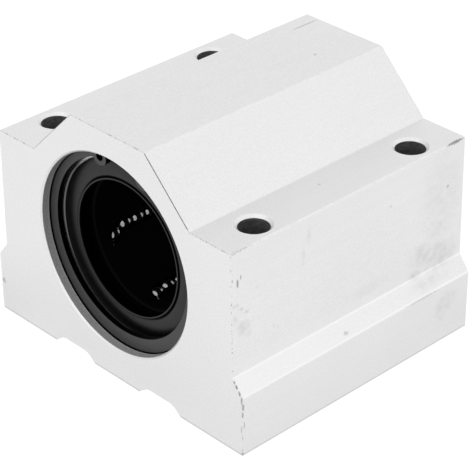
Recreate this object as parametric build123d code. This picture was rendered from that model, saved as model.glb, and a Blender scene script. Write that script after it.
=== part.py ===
"""Linear bearing block for a 40 mm shaft.

An extruded aluminium housing holds a recirculating ball bearing between two retaining rings.
Millimetres. X runs across the block, Y along the shaft and Z up from the mounting face.
The origin is the middle of the mounting face. The front end faces -Y.
Angles about the shaft start at the top and grow towards +X, seen from the front.
"""
from build123d import *
from math import cos, dist, hypot, pi, radians, sin, sqrt, tan
import os

# Housing outline
block_width = 102.0
block_length = 90.0
block_height = 77.8
shoulder_height = 61.0
shoulder_width = 93.9
wall_width = 94.8
foot_height = 18.8
foot_slope_height = 4.6
top_flat_width = 29.6
hump_width = 63.2
foot_slope_round = 2.0
outline_round = 0.5
end_break = 0.2

# Relief grooves in the mounting face
relief_centre = 18.0
relief_width = 17.2
relief_floor_width = 10.6
relief_depth = 2.5
relief_round = 4.0

# Bolt holes
bolt_spacing_x = 80.0
bolt_spacing_y = 60.0
bolt_hole_diameter = 8.7
bolt_hole_chamfer = 0.9
thread_diameter = 10.0
thread_depth = 25.0
thread_chamfer = 0.8

# Bore for the bearing
shaft_height = 40.0
bore_diameter = 60.0
bore_chamfer = 0.5
ring_groove_diameter = 63.0
ring_groove_width = 2.15

# Retaining rings
ring_thickness = 1.75
ring_groove_play = 0.05
ring_inner_diameter = 53.4
ring_inner_offset = 1.0
lug_inner_radius = 25.2
lug_width = 5.0
lug_round = 2.0
lug_hole_diameter = 2.8
lug_hole_radius = 27.85
lug_spread = 36.0
lug_middle_angle = 3.0

# Bearing sleeve
shaft_diameter = 40.0
sleeve_recess = 5.0
sleeve_bore_play = 0.02
sleeve_chamfer = 0.8
snap_groove_inset = 9.75
snap_groove_width = 2.1
snap_groove_diameter = 57.0
end_bore_diameter = 55.0
end_bore_depth = 6.0
turn_relief_diameter = 54.2
raceway_relief = 0.5
raceway_play = 0.02

# Ball circuits
ball_diameter = 4.7625
circuit_count = 6
first_circuit_angle = 10.5
return_angle = -22.5
return_radius = 24.6
ball_gap = 0.03
ball_chain_offset = 5.38
ball_chain_step = -1.26
ball_walk_step = 0.01
track_play = 0.12

# Ball cage
cage_inner_diameter = 41.0
cage_play = 0.18
cage_end_play = 0.1
cage_end_wall = 3.0
cage_chamfer = 0.5

# Side rings that hold the cage
side_ring_inner_diameter = 47.4
side_ring_length = 3.0
end_fit_play = 0.05

# Seals
seal_recess = 0.6
case_rim_width = 0.85
case_rim_round = 0.35
case_floor_thickness = 0.5
case_floor_inner_diameter = 46.0
seal_face_recess = 0.75
seal_crown_recess = 0.2
seal_crown_bulge = 0.15
lip_groove_outer_diameter = 42.6
lip_groove_inner_diameter = 41.3
lip_groove_depth = 0.55
lip_front_diameter = 40.3
lip_entry = 0.4
lip_land_length = 1.2

# Radii and stations that follow from the sizes above
bore_radius = bore_diameter / 2
shaft_radius = shaft_diameter / 2
ball_radius = ball_diameter / 2
load_radius = shaft_radius + ball_radius
raceway_radius = load_radius + ball_radius + raceway_play
cage_outer_radius = raceway_radius - cage_play
sleeve_end = block_length / 2 - sleeve_recess
end_bore_radius = end_bore_diameter / 2
end_fit_radius = end_bore_radius - end_fit_play
side_ring_back = sleeve_end - end_bore_depth
side_ring_front = side_ring_back + side_ring_length
cage_end = side_ring_back - cage_end_play
seal_front = sleeve_end - seal_recess
track_reach = ball_radius + track_play


def about_shaft(radius, angle):
    """Point in the section plane across the shaft, in X and Z from the shaft axis."""
    return (radius * sin(radians(angle)), radius * cos(radians(angle)))


def turned(outline):
    """Solid of revolution on the shaft axis from (radius, Y) corners."""
    section = make_face(Polyline(*outline, close=True))
    return Pos(0, 0, shaft_height) * revolve(section, axis=Axis.Y)


def from_behind(shape):
    """Turns a piece of the front end round to the rear end."""
    return Rot(0, 0, 180) * shape


def corners_at(face, x, y):
    """Corners of a face that lie at plus or minus x and at y."""
    return [v for v in face.vertices() if abs(abs(v.X) - x) < 0.01 and abs(v.Y - y) < 0.01]


def housing_outline():
    """Section of the extrusion, drawn with Z as its Y."""
    relief_side = (relief_width - relief_floor_width) / 2
    relief_start = relief_centre - relief_width / 2
    relief_end = relief_centre + relief_width / 2
    wall_foot = foot_height + foot_slope_height
    right = [
        (relief_start, 0),
        (relief_start + relief_side, relief_depth),
        (relief_end - relief_side, relief_depth),
        (relief_end, 0),
        (block_width / 2, 0),
        (block_width / 2, foot_height),
        (wall_width / 2, wall_foot),
        (shoulder_width / 2, shoulder_height),
        (hump_width / 2, shoulder_height),
        (top_flat_width / 2, block_height),
    ]
    left = [(-x, z) for x, z in reversed(right)]
    face = make_face(Polyline(*right, *left, close=True))
    soft = corners_at(face, *right[1]) + corners_at(face, *right[2])
    face = fillet(soft, relief_round)
    face = fillet(corners_at(face, *right[6]), foot_slope_round)
    crisp = [v for place in right[4:6] + right[7:] for v in corners_at(face, *place)]
    return fillet(crisp, outline_round)


def bore_tool():
    """Everything that is bored out for the bearing and its retaining rings."""
    end = block_length / 2
    groove_radius = ring_groove_diameter / 2
    groove_front = sleeve_end + ring_groove_width
    half = [
        (bore_radius + bore_chamfer, end),
        (bore_radius, end - bore_chamfer),
        (bore_radius, groove_front),
        (groove_radius, groove_front),
        (groove_radius, sleeve_end),
        (bore_radius, sleeve_end),
    ]
    other = [(r, -y) for r, y in reversed(half)]
    return turned([(0, end), *half, *other, (0, -end)])


def bolt_hole_tool():
    """Through hole with a threaded lower end, on the Z axis."""
    hole = bolt_hole_diameter / 2
    thread = thread_diameter / 2
    outline = [
        (0, 0),
        (thread + thread_chamfer, 0),
        (thread, thread_chamfer),
        (thread, thread_depth),
        (hole, thread_depth + thread - hole),
        (hole, shoulder_height - bolt_hole_chamfer),
        (hole + bolt_hole_chamfer, shoulder_height),
        (0, shoulder_height),
    ]
    section = Plane.XZ * make_face(Polyline(*outline, close=True))
    return revolve(section, axis=Axis.Z)


def make_housing():
    block = extrude(Plane.XZ * housing_outline(), amount=block_length / 2, both=True)
    ends = block.faces().filter_by(Axis.Y)
    block = chamfer(ends.edges(), end_break)
    holes = [
        Pos(x * bolt_spacing_x / 2, y * bolt_spacing_y / 2, 0) * bolt_hole_tool()
        for x in (-1, 1)
        for y in (-1, 1)
    ]
    return block - [bore_tool(), *holes]


def make_sleeve():
    """Hardened outer sleeve with raceway lands, ball return channels and outer snap grooves."""
    outer = bore_radius - sleeve_bore_play
    groove = snap_groove_diameter / 2
    groove_far = sleeve_end - snap_groove_inset
    groove_near = groove_far - snap_groove_width
    relief = turn_relief_diameter / 2
    land_end = circuit_end() - raceway_relief
    half = [
        (raceway_radius, land_end),
        (relief, land_end),
        (relief, side_ring_back),
        (end_bore_radius, side_ring_back),
        (end_bore_radius, sleeve_end),
        (outer - sleeve_chamfer, sleeve_end),
        (outer, sleeve_end - sleeve_chamfer),
        (outer, groove_far),
        (groove, groove_far),
        (groove, groove_near),
        (outer, groove_near),
    ]
    other = [(r, -y) for r, y in reversed(half)]
    sleeve = turned([*half, *other])
    channel = Cylinder(track_reach, 2 * land_end, rotation=(90, 0, 0))
    x, z = about_shaft(return_radius, return_angle)
    return sleeve - [on_circuit(i, Pos(x, 0, z) * channel) for i in range(circuit_count)]


def on_circuit(index, shape):
    """Places a shape drawn about a load row at the top onto one of the ball circuits."""
    angle = first_circuit_angle + index * 360 / circuit_count
    return Pos(0, 0, shaft_height) * Rot(0, angle, 0) * shape


def circuit_frame():
    """Plane of the ball centres: x from the return row to the load row, y along the shaft."""
    load = Vector(0, 0, load_radius)
    x, z = about_shaft(return_radius, return_angle)
    back = Vector(x, 0, z)
    across = load - back
    return Plane(origin=(load + back) / 2, x_dir=across, z_dir=across.cross(Vector(0, 1, 0)))


def turn_radius():
    """Half the distance between a load row and its return row."""
    x, z = about_shaft(return_radius, return_angle)
    return hypot(x, z - load_radius) / 2


def circuit_end():
    """Where the straight rows of a circuit end and its turns start, along the shaft."""
    return cage_end - cage_end_wall - track_reach - turn_radius()


def track_section():
    """Section of the ball track: a channel with a three-sided floor, open to the outside."""
    flat = track_reach * tan(pi / 8)
    outline = [(track_reach, cage_outer_radius), (track_reach, -flat), (flat, -track_reach)]
    mirrored = [(-x, y) for x, y in reversed(outline)]
    return make_face(Polyline(*outline, *mirrored, close=True))


def track_tool():
    """The closed ball track of one circuit, to be cut out of the cage."""
    radius = turn_radius()
    section = Plane.XZ * track_section()
    run = extrude(section, amount=circuit_end(), both=True)
    bend = Pos(0, circuit_end(), 0) * revolve(Pos(radius, 0, 0) * section, Axis.Z, 180)
    return circuit_frame() * (Pos(radius, 0, 0) * run + Pos(-radius, 0, 0) * run + bend + from_behind(bend))


def make_cage():
    """Moulded cage with six closed ball tracks that open through its inner wall at the load rows."""
    inner = cage_inner_diameter / 2
    outer = cage_outer_radius
    cage = turned([
        (inner + cage_chamfer, cage_end),
        (outer, cage_end),
        (outer, -cage_end),
        (inner + cage_chamfer, -cage_end),
        (inner, -cage_end + cage_chamfer),
        (inner, cage_end - cage_chamfer),
    ])
    track = track_tool()
    return cage - [on_circuit(i, track) for i in range(circuit_count)]


def track_point(travel):
    """Ball centre in the circuit frame after a way along the track from the middle of the load row."""
    radius = turn_radius()
    half = circuit_end()
    bend = pi * radius
    way = travel % (4 * half + 2 * bend)
    if way < half:
        return (radius, way)
    way -= half
    if way < bend:
        return (radius * cos(way / radius), half + radius * sin(way / radius))
    way -= bend
    if way < 2 * half:
        return (-radius, half - way)
    way -= 2 * half
    if way < bend:
        return (-radius * cos(way / radius), -half - radius * sin(way / radius))
    return (radius, way - bend - half)


def ball_centres(index):
    """Balls one after another round one circuit, with the spare room left in the return row."""
    pitch = ball_diameter + ball_gap
    half_way = 2 * circuit_end() + pi * turn_radius()
    start = half_way + ball_chain_offset + index * ball_chain_step
    centres = [track_point(start)]
    for step in range(1, int(2 * half_way / ball_walk_step)):
        place = track_point(start + step * ball_walk_step)
        if dist(place, centres[-1]) >= pitch:
            centres.append(place)
    if dist(centres[0], centres[-1]) < pitch:
        centres.pop()
    return centres


def make_ball():
    """Steel ball in few flat faces: an icosahedron with its corners on the true sphere."""
    golden = (1 + sqrt(5)) / 2
    short = ball_radius / hypot(1, golden)
    long = short * golden
    corners = []
    for a in (-short, short):
        for b in (-long, long):
            corners += [(0, a, b), (a, b, 0), (b, 0, a)]
    return ConvexPolyhedron(corners)


def make_balls(index):
    """Balls of one circuit: those under load, and those turning or on their way back."""
    frame = circuit_frame()
    ball = make_ball()
    loaded = []
    returning = []
    for x, y in ball_centres(index):
        under_load = x > 0 and abs(y) <= circuit_end()
        row = loaded if under_load else returning
        row.append(on_circuit(index, frame * Pos(x, y, 0) * ball))
    return Compound(children=loaded), Compound(children=returning)


def make_side_ring():
    """Steel ring at the front end that keeps the cage in the sleeve."""
    inner = side_ring_inner_diameter / 2
    return turned([
        (inner, -side_ring_back),
        (end_fit_radius, -side_ring_back),
        (end_fit_radius, -side_ring_front),
        (inner, -side_ring_front),
    ])


def make_seal_case():
    """Steel cup that carries the front seal."""
    rim = end_fit_radius - case_rim_width
    floor = side_ring_front + case_floor_thickness
    return turned([
        (case_floor_inner_diameter / 2, -side_ring_front),
        (end_fit_radius, -side_ring_front),
        (end_fit_radius, -seal_front + case_rim_round),
        (end_fit_radius - case_rim_round, -seal_front),
        (rim + case_rim_round, -seal_front),
        (rim, -seal_front + case_rim_round),
        (rim, -floor),
        (case_floor_inner_diameter / 2, -floor),
    ])


def make_seal():
    """Rubber wiper seal of the front end, with its lip on the shaft."""
    floor = side_ring_front + case_floor_thickness
    crown = seal_front - seal_crown_recess
    land_front = seal_front - lip_entry
    land_back = land_front - lip_land_length
    face_outer = (end_fit_radius - case_rim_width, -seal_front + seal_face_recess)
    face_inner = (lip_groove_outer_diameter / 2, -crown)
    face_middle = ((face_outer[0] + face_inner[0]) / 2, (face_outer[1] + face_inner[1]) / 2 - seal_crown_bulge)
    face = ThreePointArc(face_outer, face_middle, face_inner)
    rest = Polyline(
        face_inner,
        (lip_groove_inner_diameter / 2, -crown + lip_groove_depth),
        (lip_front_diameter / 2 + lip_entry, -seal_front),
        (lip_front_diameter / 2, -seal_front),
        (shaft_radius, -land_front),
        (shaft_radius, -land_back),
        (case_floor_inner_diameter / 2 - lip_entry, -floor),
        (face_outer[0], -floor),
        face_outer,
    )
    section = make_face([face, rest])
    return Pos(0, 0, shaft_height) * revolve(section, axis=Axis.Y)


def make_retaining_ring():
    """Spring steel ring with two pierced lugs, in the groove at the front end."""
    outer = ring_groove_diameter / 2 - ring_groove_play
    band = Circle(outer) - Pos(0, ring_inner_offset) * Circle(ring_inner_diameter / 2)
    half_spread = lug_spread / 2
    reach = 2 * outer
    gap = make_face(Polyline((0, 0), about_shaft(reach, -half_spread), about_shaft(reach, half_spread), close=True))
    lug = Pos(0, (lug_inner_radius + outer) / 2) * Rectangle(lug_width, outer - lug_inner_radius)
    hole = Pos(0, lug_hole_radius) * Circle(lug_hole_diameter / 2)
    lugs = [Rot(0, 0, side * half_spread) * lug for side in (-1, 1)]
    holes = [Rot(0, 0, side * half_spread) * hole for side in (-1, 1)]
    ring = (band - gap + lugs) & Circle(outer)
    tips = [v for v in ring.vertices() if hypot(v.X, v.Y) < lug_inner_radius + 0.5]
    ring = fillet(tips, lug_round)
    ring = Rot(0, 0, -lug_middle_angle) * (ring - holes)
    solid = extrude(Plane.XZ * ring, amount=ring_thickness)
    return Pos(0, -sleeve_end, shaft_height) * solid


def main():
    pieces = {
        "housing": make_housing(),
        "outer_sleeve": make_sleeve(),
        "ball_cage": make_cage(),
    }
    front = {
        "side_ring": make_side_ring(),
        "seal_case": make_seal_case(),
        "seal": make_seal(),
        "retaining_ring": make_retaining_ring(),
    }
    for name, shape in front.items():
        pieces["front_" + name] = shape
        pieces["rear_" + name] = from_behind(shape)
    for index in range(circuit_count):
        loaded, returning = make_balls(index)
        pieces[f"load_balls_{index + 1}"] = loaded
        pieces[f"return_balls_{index + 1}"] = returning
    os.makedirs("parts", exist_ok=True)
    for name, shape in pieces.items():
        export_step(shape, f"parts/{name}.step")


main()
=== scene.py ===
import math

import bmesh
import bpy
from mathutils import Matrix, Vector


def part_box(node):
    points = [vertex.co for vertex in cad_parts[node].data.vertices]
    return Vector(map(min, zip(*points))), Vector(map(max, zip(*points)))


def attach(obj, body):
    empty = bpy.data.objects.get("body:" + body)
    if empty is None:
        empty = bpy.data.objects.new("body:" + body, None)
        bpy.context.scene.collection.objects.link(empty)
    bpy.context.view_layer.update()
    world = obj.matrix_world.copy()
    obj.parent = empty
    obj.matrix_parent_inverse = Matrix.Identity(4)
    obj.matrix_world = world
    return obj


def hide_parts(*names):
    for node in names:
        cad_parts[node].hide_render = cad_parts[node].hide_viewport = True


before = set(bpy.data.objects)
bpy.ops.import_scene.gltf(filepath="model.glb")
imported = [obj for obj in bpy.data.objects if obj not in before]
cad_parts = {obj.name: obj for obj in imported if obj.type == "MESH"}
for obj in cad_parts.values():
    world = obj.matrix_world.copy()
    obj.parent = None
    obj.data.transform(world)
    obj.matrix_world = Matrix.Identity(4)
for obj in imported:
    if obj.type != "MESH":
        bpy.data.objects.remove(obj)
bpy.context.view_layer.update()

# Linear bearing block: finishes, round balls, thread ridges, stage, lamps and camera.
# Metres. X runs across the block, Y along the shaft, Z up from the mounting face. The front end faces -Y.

MM = 0.001
BODY = "root"

# Sizes of the block that the finishes and the added pieces follow
block_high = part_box("housing")[1]
half_width = block_high.x
half_length = block_high.y
block_height = block_high.z
shaft_height = 40 * MM
bore_radius = 30 * MM
end_break = 0.2 * MM
ring_groove_front = 42.15 * MM
bolt_x = 40 * MM
bolt_y = 30 * MM
bolt_hole_radius = 4.35 * MM
thread_radius = 5 * MM
thread_depth = 25 * MM
thread_pitch = 1.5 * MM
ball_radius = 2.38125 * MM

# Levels of the finishes, from 0 for black to 1 for white
skin_level = 0.83
bore_wall_level = 0.76
hole_wall_level = 0.2
sleeve_level = 0.42
# The side rings' steel is near black: painted shade for the dark inside of the bearing.
side_ring_shaded_level = 0.006
case_level = 0.12
ring_level = 0.072
rubber_level = 0.0035
cage_level = 0.0025
# The balls are darker than bare steel: painted shade for the dark inside of the bearing.
ball_shaded_level = 0.3

# Share of metal in the finishes of the bore's wall and the holes' walls
bore_wall_metal = 0.35
hole_wall_metal = 0.3

# Stretch of the seal cases' rims with a painted glint, in radians about the shaft from the top
painted_glint_angle = -0.55
painted_glint_reach = 0.30

# Planes of the right side, in millimetres
wall_plane = 47.2
foot_plane = 51.0

# Corners of the housing's section, as X and Z on the right half
foot_top = (half_width, 18.8 * MM)
wall_foot = (47.4 * MM, 23.4 * MM)
shoulder_edge = (46.95 * MM, 61 * MM)
hump_edge = (14.8 * MM, block_height)

# Camera and stage
camera_place = Vector((368.12, -347.83, 332.13)) * MM
camera_right = Vector((0.69096, 0.72286, -0.00680))
camera_down = Vector((0.36826, -0.36007, -0.85717))
camera_lens = 157.84
camera_sensor = 36.0
floor_reach = 3.0

# Surroundings: how bright matt surfaces and metal find the sky and the floor, and where the brighter side is
sky_on_matt = 0.4
sky_in_metal = 0.94
bright_sky_in_metal = 1.13
bright_side = (0.656, 0.586, 0.475)
floor_glow = 0.92
floor_grey = 0.3
floor_in_metal_near = 0.87
floor_in_metal_far = 1.0
floor_fade = 45 * MM


class Shader:
    """A node material that is built from short calls; an argument is a number, a colour or a socket."""

    def __init__(self, name):
        self.material = bpy.data.materials.new(name)
        self.material.use_nodes = True
        self.tree = self.material.node_tree
        self.tree.nodes.clear()
        self.output = self.tree.nodes.new("ShaderNodeOutputMaterial")
        self.coordinates = self.tree.nodes.new("ShaderNodeTexCoord").outputs["Object"]
        self.x, self.y, self.z = self.split(self.coordinates)

    def set(self, socket, value):
        if isinstance(value, bpy.types.NodeSocket):
            self.tree.links.new(value, socket)
        else:
            socket.default_value = value

    def math(self, operation, *values):
        node = self.tree.nodes.new("ShaderNodeMath")
        node.operation = operation
        for socket, value in zip(node.inputs, values):
            self.set(socket, value)
        return node.outputs[0]

    def split(self, vector):
        node = self.tree.nodes.new("ShaderNodeSeparateXYZ")
        self.set(node.inputs[0], vector)
        return node.outputs

    def join(self, x, y, z):
        node = self.tree.nodes.new("ShaderNodeCombineXYZ")
        for socket, value in zip(node.inputs, (x, y, z)):
            self.set(socket, value)
        return node.outputs[0]

    def ramp(self, value, low, high, start=0.0, end=1.0):
        """Runs smoothly from start to end while value goes from low to high."""
        node = self.tree.nodes.new("ShaderNodeMapRange")
        node.interpolation_type = "SMOOTHSTEP"
        for socket, given in zip(node.inputs, (value, low, high, start, end)):
            self.set(socket, given)
        return node.outputs[0]

    def noise(self, scale, detail, vector=None):
        """Noise about 0.5; scale is in waves per metre."""
        node = self.tree.nodes.new("ShaderNodeTexNoise")
        self.set(node.inputs["Vector"], vector or self.coordinates)
        node.inputs["Scale"].default_value = scale
        node.inputs["Detail"].default_value = detail
        return node.outputs["Fac"]

    def stretched(self, scale_x, scale_y, scale_z, detail):
        """Noise with its own waves per metre along each axis."""
        vector = self.join(
            self.math("MULTIPLY", self.x, scale_x),
            self.math("MULTIPLY", self.y, scale_y),
            self.math("MULTIPLY", self.z, scale_z),
        )
        return self.noise(1.0, detail, vector)

    def distance(self, a, b):
        return self.math("SQRT", self.math("ADD", self.math("MULTIPLY", a, a), self.math("MULTIPLY", b, b)))

    def away(self, value, place):
        return self.math("SUBTRACT", value, place)

    def both(self, *masks):
        mask = masks[0]
        for other in masks[1:]:
            mask = self.math("MULTIPLY", mask, other)
        return mask

    def either(self, *masks):
        mask = masks[0]
        for other in masks[1:]:
            mask = self.math("MAXIMUM", mask, other)
        return mask

    def blend(self, mask, first, second):
        """Number that is first where mask is 0 and second where it is 1."""
        node = self.tree.nodes.new("ShaderNodeMix")
        node.data_type = "FLOAT"
        self.set(node.inputs["Factor"], mask)
        self.set(node.inputs["A"], first)
        self.set(node.inputs["B"], second)
        return node.outputs["Result"]

    def grey(self, value):
        """Neutral colour of that level."""
        node = self.tree.nodes.new("ShaderNodeCombineColor")
        for socket in node.inputs:
            self.set(socket, value)
        return node.outputs[0]

    def bump(self, height, distance, strength, normal=None):
        node = self.tree.nodes.new("ShaderNodeBump")
        node.inputs["Strength"].default_value = strength
        node.inputs["Distance"].default_value = distance
        self.set(node.inputs["Height"], height)
        if normal is not None:
            self.set(node.inputs["Normal"], normal)
        return node.outputs[0]

    def finish(self, colour, metallic, roughness, normal=None, specular=0.5):
        surface = self.tree.nodes.new("ShaderNodeBsdfPrincipled")
        self.set(surface.inputs["Base Color"], colour)
        self.set(surface.inputs["Metallic"], metallic)
        surface.inputs["Specular IOR Level"].default_value = specular
        self.set(surface.inputs["Roughness"], roughness)
        if normal is not None:
            self.set(surface.inputs["Normal"], normal)
        self.set(self.output.inputs["Surface"], surface.outputs[0])
        return self.material


def from_shaft(s):
    """Distance from the shaft's axis."""
    return s.distance(s.x, s.away(s.z, shaft_height))


def round_shaft(s, around, along):
    """Noise drawn out round the shaft: around is in waves per turn, along in waves per metre."""
    angle = s.math("ARCTAN2", s.x, s.away(s.z, shaft_height))
    turn = s.math("MULTIPLY", angle, around / math.tau)
    outward = s.math("MULTIPLY", from_shaft(s), along)
    return s.noise(1.0, 3.0, s.join(turn, s.math("MULTIPLY", s.y, along), outward))


def near_corner(s, corner, reach):
    """1 on a long edge of the section, on either side of the block, and 0 past reach."""
    x = s.away(s.math("ABSOLUTE", s.x), corner[0])
    z = s.away(s.z, corner[1])
    return s.ramp(s.distance(x, z), 0.3 * reach, reach, 1.0, 0.0)


def from_place(s, place, reach):
    """0 at a place and 1 at its reach along X, Y and Z."""
    across = [s.math("DIVIDE", s.away(v, p * MM), r * MM) for v, p, r in zip((s.x, s.y, s.z), place, reach)]
    squares = [s.math("MULTIPLY", a, a) for a in across]
    return s.math("SQRT", s.math("ADD", s.math("ADD", squares[0], squares[1]), squares[2]))


def spot(s, strength, place, reach, ragged=0.5):
    """Sharp mark about a place, in millimetres, with a ragged rim."""
    rim = s.math("MULTIPLY", s.away(s.noise(1.2 / (min(reach) * MM), 3.0), 0.5), 2 * ragged)
    size = s.math("ADD", from_place(s, place, reach), rim)
    return s.ramp(size, 0.55, 1.0, strength, 0.0)


def smudge(s, strength, place, reach):
    """Soft mottled patch about a place, in millimetres."""
    mottled = s.ramp(s.noise(420, 4.0), 0.3, 0.7, 0.3, 1.1)
    return s.both(s.ramp(from_place(s, place, reach), 0.1, 1.0, strength, 0.0), mottled)


def side_marks(s):
    """Scuffs and smudges on the right side, from the front end to the rear."""
    wall = wall_plane
    foot = foot_plane
    return [
        spot(s, 0.5, (wall, -42.7, 51.5), (2, 0.5, 1.6)),
        spot(s, 0.4, (wall, -41.5, 52.9), (2, 0.35, 0.9)),
        spot(s, 0.4, (wall, -44.5, 53.0), (2, 0.3, 0.6)),
        spot(s, 0.28, (46.9, -41.5, 61.0), (0.5, 4.5, 0.5), 1.8),
        smudge(s, 0.14, (wall, -44.2, 44.9), (2, 1.2, 0.9)),
        smudge(s, 0.16, (wall, -42.8, 45.1), (2, 1.2, 0.9)),
        smudge(s, 0.16, (wall, -41.4, 43.3), (2, 1.3, 0.9)),
        smudge(s, 0.16, (wall, -39.6, 41.8), (2, 1.5, 0.9)),
        smudge(s, 0.18, (wall, -40.9, 37.4), (2, 3.4, 3.2)),
        smudge(s, 0.13, (wall, -43.9, 41.0), (2, 1.4, 2.0)),
        smudge(s, 0.12, (wall, -39.3, 35.0), (2, 1.8, 2.0)),
        smudge(s, 0.1, (wall, -35.9, 47.5), (2, 0.7, 1.2)),
        spot(s, 0.08, (wall, -29.8, 32.8), (2, 0.4, 1.1)),
        spot(s, 0.08, (wall, -28.4, 31.8), (2, 0.4, 0.9)),
        smudge(s, 0.1, (wall, -16.9, 55.5), (2, 1.3, 4.5)),
        smudge(s, 0.1, (wall, -18.8, 49.5), (2, 1.0, 4.5)),
        spot(s, 0.2, (wall, 14.8, 50.9), (2, 0.45, 0.5)),
        smudge(s, 0.06, (wall, 6.0, 28.5), (2, 12.0, 3.0)),
        smudge(s, 0.16, (wall, 35.5, 26.5), (2, 11.0, 8.0)),
        smudge(s, 0.14, (wall, 29.0, 29.5), (2, 8.0, 6.0)),
        smudge(s, 0.18, (wall, 25.5, 24.3), (2, 4.0, 2.2)),
        smudge(s, 0.08, (wall, 35.5, 36.0), (2, 8.0, 6.0)),
        smudge(s, 0.07, (wall, 36.0, 46.0), (2, 12.0, 20.0)),
        spot(s, 0.35, (wall, 38.3, 47.8), (2, 0.6, 0.6)),
        smudge(s, 0.1, (49.2, 30.0, 21.0), (3, 11.0, 3.0)),
        smudge(s, 0.12, (foot, 35.8, 12.8), (1, 5.5, 4.5)),
        smudge(s, 0.1, (foot, 33.6, 11.0), (1, 4.0, 5.5)),
        spot(s, 0.16, (foot, 25.5, 18.4), (1, 7.5, 0.5), 1.2),
    ] + foot_nicks(s)


def foot_nicks(s):
    """Nicks along the front foot's torn edge, from the wall down to the base."""
    foot = foot_plane
    return [
        spot(s, 0.55, (48.0, -45, 22.4), (0.45, 0.3, 0.5), 1.0),
        spot(s, 0.65, (48.9, -45, 21.4), (0.6, 0.3, 0.8), 1.0),
        spot(s, 0.6, (50.0, -45, 20.0), (0.5, 0.3, 1.1), 1.0),
        spot(s, 0.5, (50.7, -45, 18.0), (0.35, 0.3, 1.6), 1.0),
        spot(s, 0.5, (foot, -44.7, 15.9), (0.4, 0.45, 1.3), 1.0),
        spot(s, 0.45, (foot, -44.9, 13.4), (0.4, 0.35, 1.1), 1.0),
        spot(s, 0.3, (foot, -44.3, 10.0), (0.4, 0.3, 1.4)),
        spot(s, 0.25, (50.6, -45, 8.6), (0.3, 0.3, 1.6)),
        spot(s, 0.35, (foot, -45, 0.8), (0.7, 0.7, 0.5), 0.9),
    ]


def other_marks(s):
    """Specks on the faces that look up and on the front end."""
    return [
        spot(s, 0.3, (5.7, 27.3, 77.8), (0.6, 0.6, 1)),
        spot(s, 0.25, (37.4, -3.2, 61), (0.45, 0.6, 1)),
        spot(s, 0.3, (-49.8, -45, 10), (0.9, 1, 1.1)),
    ]


def housing_marks(s):
    """How far marks darken the skin, and where they are dents as well."""
    scratch = spot(s, 0.3, (-10.1, 39.0, 77.8), (0.35, 6.0, 1), 0.3)
    chip = spot(s, 0.6, (47.2, 40.6, 61), (0.9, 4.6, 0.9), 0.5)
    dent = spot(s, 0.25, (50.2, -4.8, 20.4), (0.8, 1.4, 0.8), 0.6)
    return s.either(scratch, chip, dent, *side_marks(s), *other_marks(s)), s.either(chip, dent)


def painted_edge_highlights(s, end):
    """How far painted highlights lighten the long edges and painted light the feet's slopes, less towards
    the rear.
    """
    wall_foot_highlight = near_corner(s, wall_foot, 0.45 * MM)
    foot_top_highlight = near_corner(s, foot_top, 0.6 * MM)
    high_edges = s.either(near_corner(s, shoulder_edge, 0.7 * MM), near_corner(s, hump_edge, 0.6 * MM))
    broken = s.ramp(s.noise(420, 3.0), 0.42, 0.56)
    # Painted light: the feet's slopes are lighter towards the front end.
    lit_foot_slopes = s.both(
        s.ramp(s.math("ABSOLUTE", s.x), wall_foot[0] - 0.1 * MM, wall_foot[0] + 0.1 * MM),
        s.ramp(s.z, foot_top[1] - 0.1 * MM, foot_top[1] + 0.1 * MM),
        s.math("SUBTRACT", 1.0, end),
    )
    return s.either(
        s.both(wall_foot_highlight, 0.7),
        s.both(foot_top_highlight, 0.6),
        s.both(high_edges, broken, 0.15),
        s.both(lit_foot_slopes, s.ramp(s.y, -half_length, half_length, 0.3, 0.08)),
    )


def burrs_and_painted_edge_light(s):
    """Level and share of metal of the end faces' broken edges.

    They are ragged above, lighter where they stand upright, a painted highlight, and darker and dull on the
    slopes.
    """
    ragged = s.noise(1500, 3.0)
    upright = s.ramp(s.z, shoulder_edge[1] - 1.0 * MM, shoulder_edge[1] - 0.5 * MM, 1.0, 0.0)
    on_slope = s.both(
        s.ramp(s.math("ABSOLUTE", s.x), hump_edge[0], hump_edge[0] + 0.5 * MM),
        s.ramp(s.z, shoulder_edge[1] + 0.3 * MM, shoulder_edge[1] + 0.8 * MM),
    )
    # Painted highlight on the upright broken edges; the edges on the slopes are darker and dull.
    level = s.blend(upright, s.ramp(ragged, 0.38, 0.5, 0.38, 0.74), s.ramp(ragged, 0.34, 0.44, 0.4, 0.86))
    level = s.blend(on_slope, level, s.ramp(ragged, 0.35, 0.65, 0.2, 0.45))
    return level, s.math("SUBTRACT", 1.0, on_slope)


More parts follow.
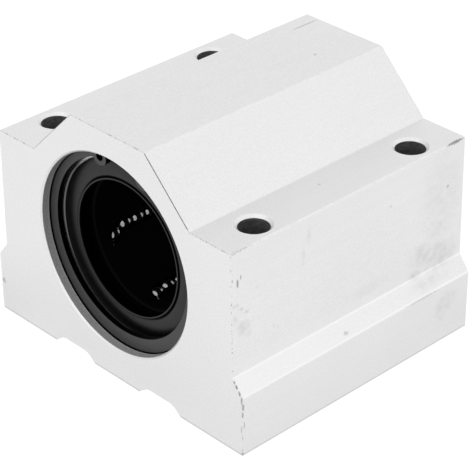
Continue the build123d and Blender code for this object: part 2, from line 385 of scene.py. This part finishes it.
def aluminium_housing():
    """Blasted and clear anodised skin, milled ends, bored bore and drilled holes, with painted highlights on
    the edges and by the ring groove and painted shade along the base.
    """
    s = Shader("aluminium_housing")
    beyond = s.math("ABSOLUTE", s.y)
    radius = from_shaft(s)
    end = s.ramp(beyond, half_length - end_break - 0.05 * MM, half_length - end_break + 0.05 * MM)
    end_edge = s.both(
        end,
        s.ramp(beyond, half_length - 0.05 * MM, half_length - 0.01 * MM, 1.0, 0.0),
        s.ramp(radius, bore_radius + 1.0 * MM, bore_radius + 1.2 * MM),
    )
    in_bore = s.ramp(radius, bore_radius + 0.02 * MM, bore_radius + 0.06 * MM, 1.0, 0.0)
    from_bolt = s.distance(
        s.away(s.math("ABSOLUTE", s.x), bolt_x),
        s.away(s.math("ABSOLUTE", s.y), bolt_y),
    )
    in_hole = s.ramp(from_bolt, bolt_hole_radius + 0.02 * MM, bolt_hole_radius + 0.1 * MM, 1.0, 0.0)

    grain = s.away(s.noise(2000, 3.0), 0.5)
    cloud = s.away(s.noise(38, 4.0), 0.5)
    drawn = s.away(s.stretched(420, 9, 420, 3.0), 0.5)
    bored = s.away(round_shaft(s, 260, 2600), 0.5)
    drilled = s.away(s.stretched(700, 700, 1500, 3.0), 0.5)

    level = s.math("ADD", skin_level, s.math("MULTIPLY", grain, 0.2))
    level = s.math("ADD", level, s.math("MULTIPLY", cloud, 0.035))
    along = s.math("MULTIPLY", drawn, s.math("SUBTRACT", 1.0, end))
    level = s.math("ADD", level, s.math("MULTIPLY", along, 0.025))

    # Painted highlights along the long edges and painted light on the feet's slopes.
    level = s.blend(painted_edge_highlights(s, end), level, 1.0)
    edge_level, edge_metal = burrs_and_painted_edge_light(s)
    level = s.blend(end_edge, level, edge_level)
    # Painted shade: darker in the last millimetre above the mounting face.
    painted_base_shade = s.ramp(s.z, 0.1 * MM, 1.1 * MM, 0.28, 0.0)
    level = s.math("MULTIPLY", level, s.math("SUBTRACT", 1.0, painted_base_shade))

    dark, deep = housing_marks(s)
    level = s.math("MULTIPLY", level, s.math("SUBTRACT", 1.0, dark))
    bore_level = s.math("ADD", bore_wall_level, s.math("MULTIPLY", bored, 0.6))
    # Painted highlight: a lighter band on the bore's wall in front of the ring groove.
    painted_groove_highlight = s.ramp(beyond, ring_groove_front, ring_groove_front + 0.5 * MM, 0.2, 0.0)
    level = s.blend(in_bore, level, s.math("ADD", bore_level, painted_groove_highlight))
    hole_level = s.math("ADD", hole_wall_level, s.math("MULTIPLY", drilled, 0.35))
    level = s.blend(in_hole, level, hole_level)
    metal = s.blend(end_edge, 1.0, edge_metal)
    metal = s.blend(in_bore, metal, bore_wall_metal)
    metal = s.blend(in_hole, metal, hole_wall_metal)

    rough = s.math("ADD", 0.46, s.math("MULTIPLY", grain, 0.2))
    rough = s.blend(end, rough, 0.42)
    rough = s.blend(in_bore, rough, 0.5)
    rough = s.blend(in_hole, rough, 0.4)

    height = s.blend(in_bore, grain, bored)
    normal = s.bump(height, 0.02 * MM, 0.5)
    normal = s.bump(s.math("MULTIPLY", deep, -1.0), 0.12 * MM, 0.8, normal)
    return s.finish(s.grey(level), metal, rough, normal)


def ground_steel(name, level, roughness):
    """Hardened steel, ground or turned round the shaft."""
    s = Shader(name)
    lines = s.away(round_shaft(s, 18, 3000), 0.5)
    shade = s.math("ADD", level, s.math("MULTIPLY", lines, 0.3 * level))
    rough = s.math("ADD", roughness, s.math("MULTIPLY", s.away(s.noise(500, 3.0), 0.5), 0.15))
    return s.finish(s.grey(shade), 1.0, rough, s.bump(lines, 0.008 * MM, 0.4))


def spring_steel():
    """Dark phosphated ring, a little worn, with painted shade on its edge faces and on the outer rim of its
    face by the groove.
    """
    s = Shader("ring_spring_steel")
    grain = s.away(s.noise(1800, 4.0), 0.5)
    cloud = s.away(s.noise(120, 3.0), 0.5)
    uneven = s.math("ADD", s.math("MULTIPLY", grain, 0.015), s.math("MULTIPLY", cloud, 0.01))
    shade = s.math("ADD", ring_level, uneven)
    depth = s.math("ABSOLUTE", s.y)
    # Painted shade: the edge faces and the outer rim next to the groove turn near black.
    shaded_edge_faces = s.both(s.ramp(depth, 40.03 * MM, 40.1 * MM), s.ramp(depth, 41.65 * MM, 41.72 * MM, 1.0, 0.0))
    groove_shadow = s.ramp(from_shaft(s), 29.5 * MM, 29.8 * MM)
    dark = s.either(shaded_edge_faces, groove_shadow)
    shade = s.blend(dark, shade, 0.004)
    return s.finish(s.grey(shade), s.blend(dark, 0.4, 1.0), 0.42, s.bump(grain, 0.015 * MM, 0.5))


def case_steel():
    """Drawn steel of the seal cases, with a painted glint on a short stretch of the front rim."""
    s = Shader("seal_case_steel")
    lines = s.away(round_shaft(s, 18, 3000), 0.5)
    angle = s.math("ARCTAN2", s.x, s.away(s.z, shaft_height))
    from_middle = s.math("ABSOLUTE", s.away(angle, painted_glint_angle))
    # Painted glint: bright and smoother over a short stretch of angle.
    painted_glint = s.ramp(from_middle, 0.3 * painted_glint_reach, painted_glint_reach, 1.0, 0.0)
    shade = s.math("ADD", case_level, s.math("MULTIPLY", lines, 0.03))
    rough = s.blend(painted_glint, 0.34, 0.25)
    return s.finish(s.grey(s.blend(painted_glint, shade, 0.8)), 1.0, rough, s.bump(lines, 0.008 * MM, 0.4))


def seal_rubber():
    """Smooth black nitrile rubber, turned finish round the lip, with painted shade on the lip's bore and
    near the outer rim.
    """
    s = Shader("seal_rubber")
    grain = s.away(s.noise(1500, 3.0), 0.5)
    rings = s.away(round_shaft(s, 3, 1800), 0.5)
    radius = from_shaft(s)
    # Painted shade: on the lip's bore and near the outer rim the rubber turns a black metal that shows no
    # reflection.
    painted_shade_bands = s.either(s.ramp(radius, 20.05 * MM, 20.2 * MM, 1.0, 0.0), s.ramp(radius, 25.9 * MM, 26.4 * MM))
    shade = s.math("ADD", rubber_level, s.math("MULTIPLY", grain, 0.002))
    rough = s.math("ADD", 0.34, s.math("MULTIPLY", rings, 0.12))
    return s.finish(s.grey(shade), painted_shade_bands, rough, s.bump(rings, 0.006 * MM, 0.4), 0.3)


def cage_plastic():
    """Black moulded resin."""
    s = Shader("cage_plastic")
    grain = s.away(s.noise(2200, 3.0), 0.5)
    shade = s.math("ADD", cage_level, s.math("MULTIPLY", grain, 0.001))
    return s.finish(s.grey(shade), 0.0, 0.55, s.bump(grain, 0.01 * MM, 0.4), 0.04)


def ball_steel():
    """Polished bearing balls under a film of oil, darker than bare steel: painted shade for the dark inside
    of the bearing.
    """
    s = Shader("ball_steel")
    film = s.away(s.noise(700, 2.0), 0.5)
    rough = s.math("ADD", 0.06, s.math("MULTIPLY", film, 0.04))
    shade = s.math("ADD", ball_shaded_level, s.math("MULTIPLY", film, 0.06))
    return s.finish(s.grey(shade), 1.0, rough)


def paint(node, material):
    """Gives a carried-over node its material."""
    node.data.materials.clear()
    node.data.materials.append(material)


def ball_centres(node):
    """Middle of each separate ball in a node."""
    welded = bmesh.new()
    welded.from_mesh(node.data)
    bmesh.ops.remove_doubles(welded, verts=welded.verts, dist=0.01 * MM)
    left = set(welded.verts)
    centres = []
    while left:
        front = [left.pop()]
        island = list(front)
        while front:
            vertex = front.pop()
            near = [edge.other_vert(vertex) for edge in vertex.link_edges]
            fresh = [v for v in near if v in left]
            left.difference_update(fresh)
            front += fresh
            island += fresh
        centres.append(sum((v.co for v in island), Vector()) / len(island))
    welded.free()
    return centres


def add_piece(name, mesh, material):
    """New piece of the block."""
    mesh.materials.append(material)
    piece = bpy.data.objects.new(name, mesh)
    bpy.context.scene.collection.objects.link(piece)
    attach(piece, BODY)
    return piece


def round_balls(node_name, material):
    """True spheres in place of the few-faced balls of a node."""
    form = bmesh.new()
    for centre in ball_centres(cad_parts[node_name]):
        place = Matrix.Translation(centre)
        bmesh.ops.create_icosphere(form, subdivisions=3, radius=ball_radius, matrix=place)
    for face in form.faces:
        face.smooth = True
    mesh = bpy.data.meshes.new(node_name + "_round")
    form.to_mesh(mesh)
    form.free()
    piece = add_piece(node_name + "_round", mesh, material)
    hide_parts(node_name)


def thread_ridge(form, x, y):
    """Helical ridge on the wall of a threaded hole, tapering off at both ends."""
    steps = 40
    turns = (thread_depth - 1.2 * MM) / thread_pitch - 1.0
    count = int(turns * steps)
    crest_radius = bolt_hole_radius + 0.02 * MM
    root_half = 0.44 * thread_pitch
    crest_half = 0.07 * thread_pitch
    rows = []
    for i in range(count + 1):
        angle = math.tau * i / steps
        height = 0.9 * MM + thread_pitch * (0.5 + i / steps)
        rise = min(1.0, i / steps, (count - i) / steps)
        crest = thread_radius - (thread_radius - crest_radius) * rise
        profile = (
            (thread_radius, -root_half),
            (crest, -crest_half),
            (crest, crest_half),
            (thread_radius, root_half),
        )
        rows.append([
            form.verts.new((x + r * math.cos(angle), y + r * math.sin(angle), height + h))
            for r, h in profile
        ])
    for low, high in zip(rows, rows[1:]):
        for a in range(3):
            form.faces.new((low[a], low[a + 1], high[a + 1], high[a]))
        form.faces.new((low[3], low[0], high[0], high[3]))
    form.faces.new(rows[0][::-1])
    form.faces.new(rows[-1])


def base_threads(material):
    """Thread ridges in the four holes, from the mounting face up."""
    form = bmesh.new()
    for x in (-bolt_x, bolt_x):
        for y in (-bolt_y, bolt_y):
            thread_ridge(form, x, y)
    bmesh.ops.recalc_face_normals(form, faces=form.faces)
    mesh = bpy.data.meshes.new("base_threads")
    form.to_mesh(mesh)
    form.free()
    add_piece("base_threads", mesh, material)


def dress():
    """Finishes of all the pieces."""
    housing = aluminium_housing()
    bearing = ground_steel("bearing_steel", sleeve_level, 0.28)
    case = case_steel()
    # Side rings: near black, painted shade for the dark inside of the bearing.
    side_ring = ground_steel("side_ring_shaded_steel", side_ring_shaded_level, 0.4)
    balls = ball_steel()
    finishes = {
        "housing": housing,
        "outer_sleeve": bearing,
        "ball_cage": cage_plastic(),
    }
    seal = seal_rubber()
    ring = spring_steel()
    for end in ("front", "rear"):
        finishes[end + "_side_ring"] = side_ring
        finishes[end + "_seal_case"] = case
        finishes[end + "_seal"] = seal
        finishes[end + "_retaining_ring"] = ring
    for name, material in finishes.items():
        paint(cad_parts[name], material)
    for name in sorted(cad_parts):
        if "_balls_" in name:
            round_balls(name, balls)
    base_threads(housing)


def seen_rays(tree, in_metal):
    """1 for rays from the camera or through glass, in_metal for a reflection, else 0."""
    path = tree.nodes.new("ShaderNodeLightPath")
    mirrored = tree.nodes.new("ShaderNodeMath")
    mirrored.operation = "MULTIPLY"
    tree.links.new(path.outputs["Is Glossy Ray"], mirrored.inputs[0])
    tree.links.new(in_metal, mirrored.inputs[1])
    seen = path.outputs["Is Camera Ray"]
    for other in (mirrored.outputs[0], path.outputs["Is Transmission Ray"]):
        most = tree.nodes.new("ShaderNodeMath")
        most.operation = "MAXIMUM"
        tree.links.new(seen, most.inputs[0])
        tree.links.new(other, most.inputs[1])
        seen = most.outputs[0]
    return seen


def studio_world():
    """White surroundings, dimmer as a source of light than to the eye, with one side brighter in metal."""
    world = bpy.data.worlds.new("studio")
    bpy.context.scene.world = world
    world.use_nodes = True
    tree = world.node_tree
    tree.nodes.clear()
    background = tree.nodes.new("ShaderNodeBackground")
    background.inputs["Color"].default_value = (1, 1, 1, 1)
    strength = tree.nodes.new("ShaderNodeMapRange")
    strength.clamp = False
    strength.inputs["To Min"].default_value = sky_on_matt
    strength.inputs["To Max"].default_value = 1.0
    direction = tree.nodes.new("ShaderNodeTexCoord").outputs["Generated"]
    towards = tree.nodes.new("ShaderNodeVectorMath")
    towards.operation = "DOT_PRODUCT"
    towards.inputs[1].default_value = bright_side
    tree.links.new(direction, towards.inputs[0])
    in_metal = tree.nodes.new("ShaderNodeMapRange")
    in_metal.inputs["From Min"].default_value = 0.5
    in_metal.inputs["From Max"].default_value = 1.0
    in_metal.inputs["To Min"].default_value = sky_in_metal
    in_metal.inputs["To Max"].default_value = bright_sky_in_metal
    tree.links.new(towards.outputs["Value"], in_metal.inputs["Value"])
    tree.links.new(seen_rays(tree, in_metal.outputs[0]), strength.inputs["Value"])
    tree.links.new(strength.outputs[0], background.inputs["Strength"])
    output = tree.nodes.new("ShaderNodeOutputWorld")
    tree.links.new(background.outputs[0], output.inputs["Surface"])


def floor_white():
    """White to the eye; its reflection in the metal fades towards the block, where its shadow lies."""
    s = Shader("floor_white")
    beyond_x = s.math("MAXIMUM", s.away(s.math("ABSOLUTE", s.x), half_width), 0.0)
    beyond_y = s.math("MAXIMUM", s.away(s.math("ABSOLUTE", s.y), half_length), 0.0)
    beyond = s.distance(beyond_x, beyond_y)
    in_metal = s.ramp(beyond, 0.0, floor_fade, floor_in_metal_near, floor_in_metal_far)
    matt = s.tree.nodes.new("ShaderNodeBsdfDiffuse")
    matt.inputs["Color"].default_value = (floor_grey, floor_grey, floor_grey, 1)
    glow = s.tree.nodes.new("ShaderNodeEmission")
    s.set(glow.inputs["Strength"], s.math("MULTIPLY", seen_rays(s.tree, in_metal), floor_glow))
    total = s.tree.nodes.new("ShaderNodeAddShader")
    s.set(total.inputs[0], matt.outputs[0])
    s.set(total.inputs[1], glow.outputs[0])
    s.set(s.output.inputs["Surface"], total.outputs[0])
    return s.material


def studio_floor():
    """Floor in the plane of the mounting face."""
    mesh = bpy.data.meshes.new("floor")
    r = floor_reach
    mesh.from_pydata([(-r, -r, 0), (r, -r, 0), (r, r, 0), (-r, r, 0)], [], [(0, 1, 2, 3)])
    mesh.materials.append(floor_white())
    floor = bpy.data.objects.new("floor", mesh)
    bpy.context.scene.collection.objects.link(floor)


def soft_lamp(name, place, target, size, power):
    """Square lamp of a size in metres and a power in watts, turned to a target."""
    light = bpy.data.lights.new(name, "AREA")
    light.shape = "SQUARE"
    light.size = size
    light.energy = power
    lamp = bpy.data.objects.new(name, light)
    bpy.context.scene.collection.objects.link(lamp)
    lamp.location = place
    lamp.rotation_euler = (Vector(target) - Vector(place)).to_track_quat("-Z", "Y").to_euler()


def studio_camera():
    """Camera of the photo."""
    data = bpy.data.cameras.new("camera")
    data.sensor_width = camera_sensor
    data.lens = camera_lens
    data.clip_start = 0.01
    data.clip_end = 20
    camera = bpy.data.objects.new("camera", data)
    bpy.context.scene.collection.objects.link(camera)
    up = -camera_down
    back = camera_right.cross(up)
    turn = Matrix((camera_right, up, back)).transposed().to_4x4()
    camera.matrix_world = Matrix.Translation(camera_place) @ turn
    bpy.context.scene.camera = camera


def light_stage():
    """Surroundings, weak wide lamps and the camera."""
    studio_world()
    studio_floor()
    soft_lamp("key_lamp", (0.16, -0.34, 0.38), (0.03, -0.05, 0.05), size=0.6, power=0.12)
    soft_lamp("fill_lamp", (0.02, -0.34, 0.30), (0.01, -0.04, 0.05), size=0.4, power=0.08)
    studio_camera()
    bpy.context.scene.view_settings.view_transform = "Standard"


dress()
light_stage()
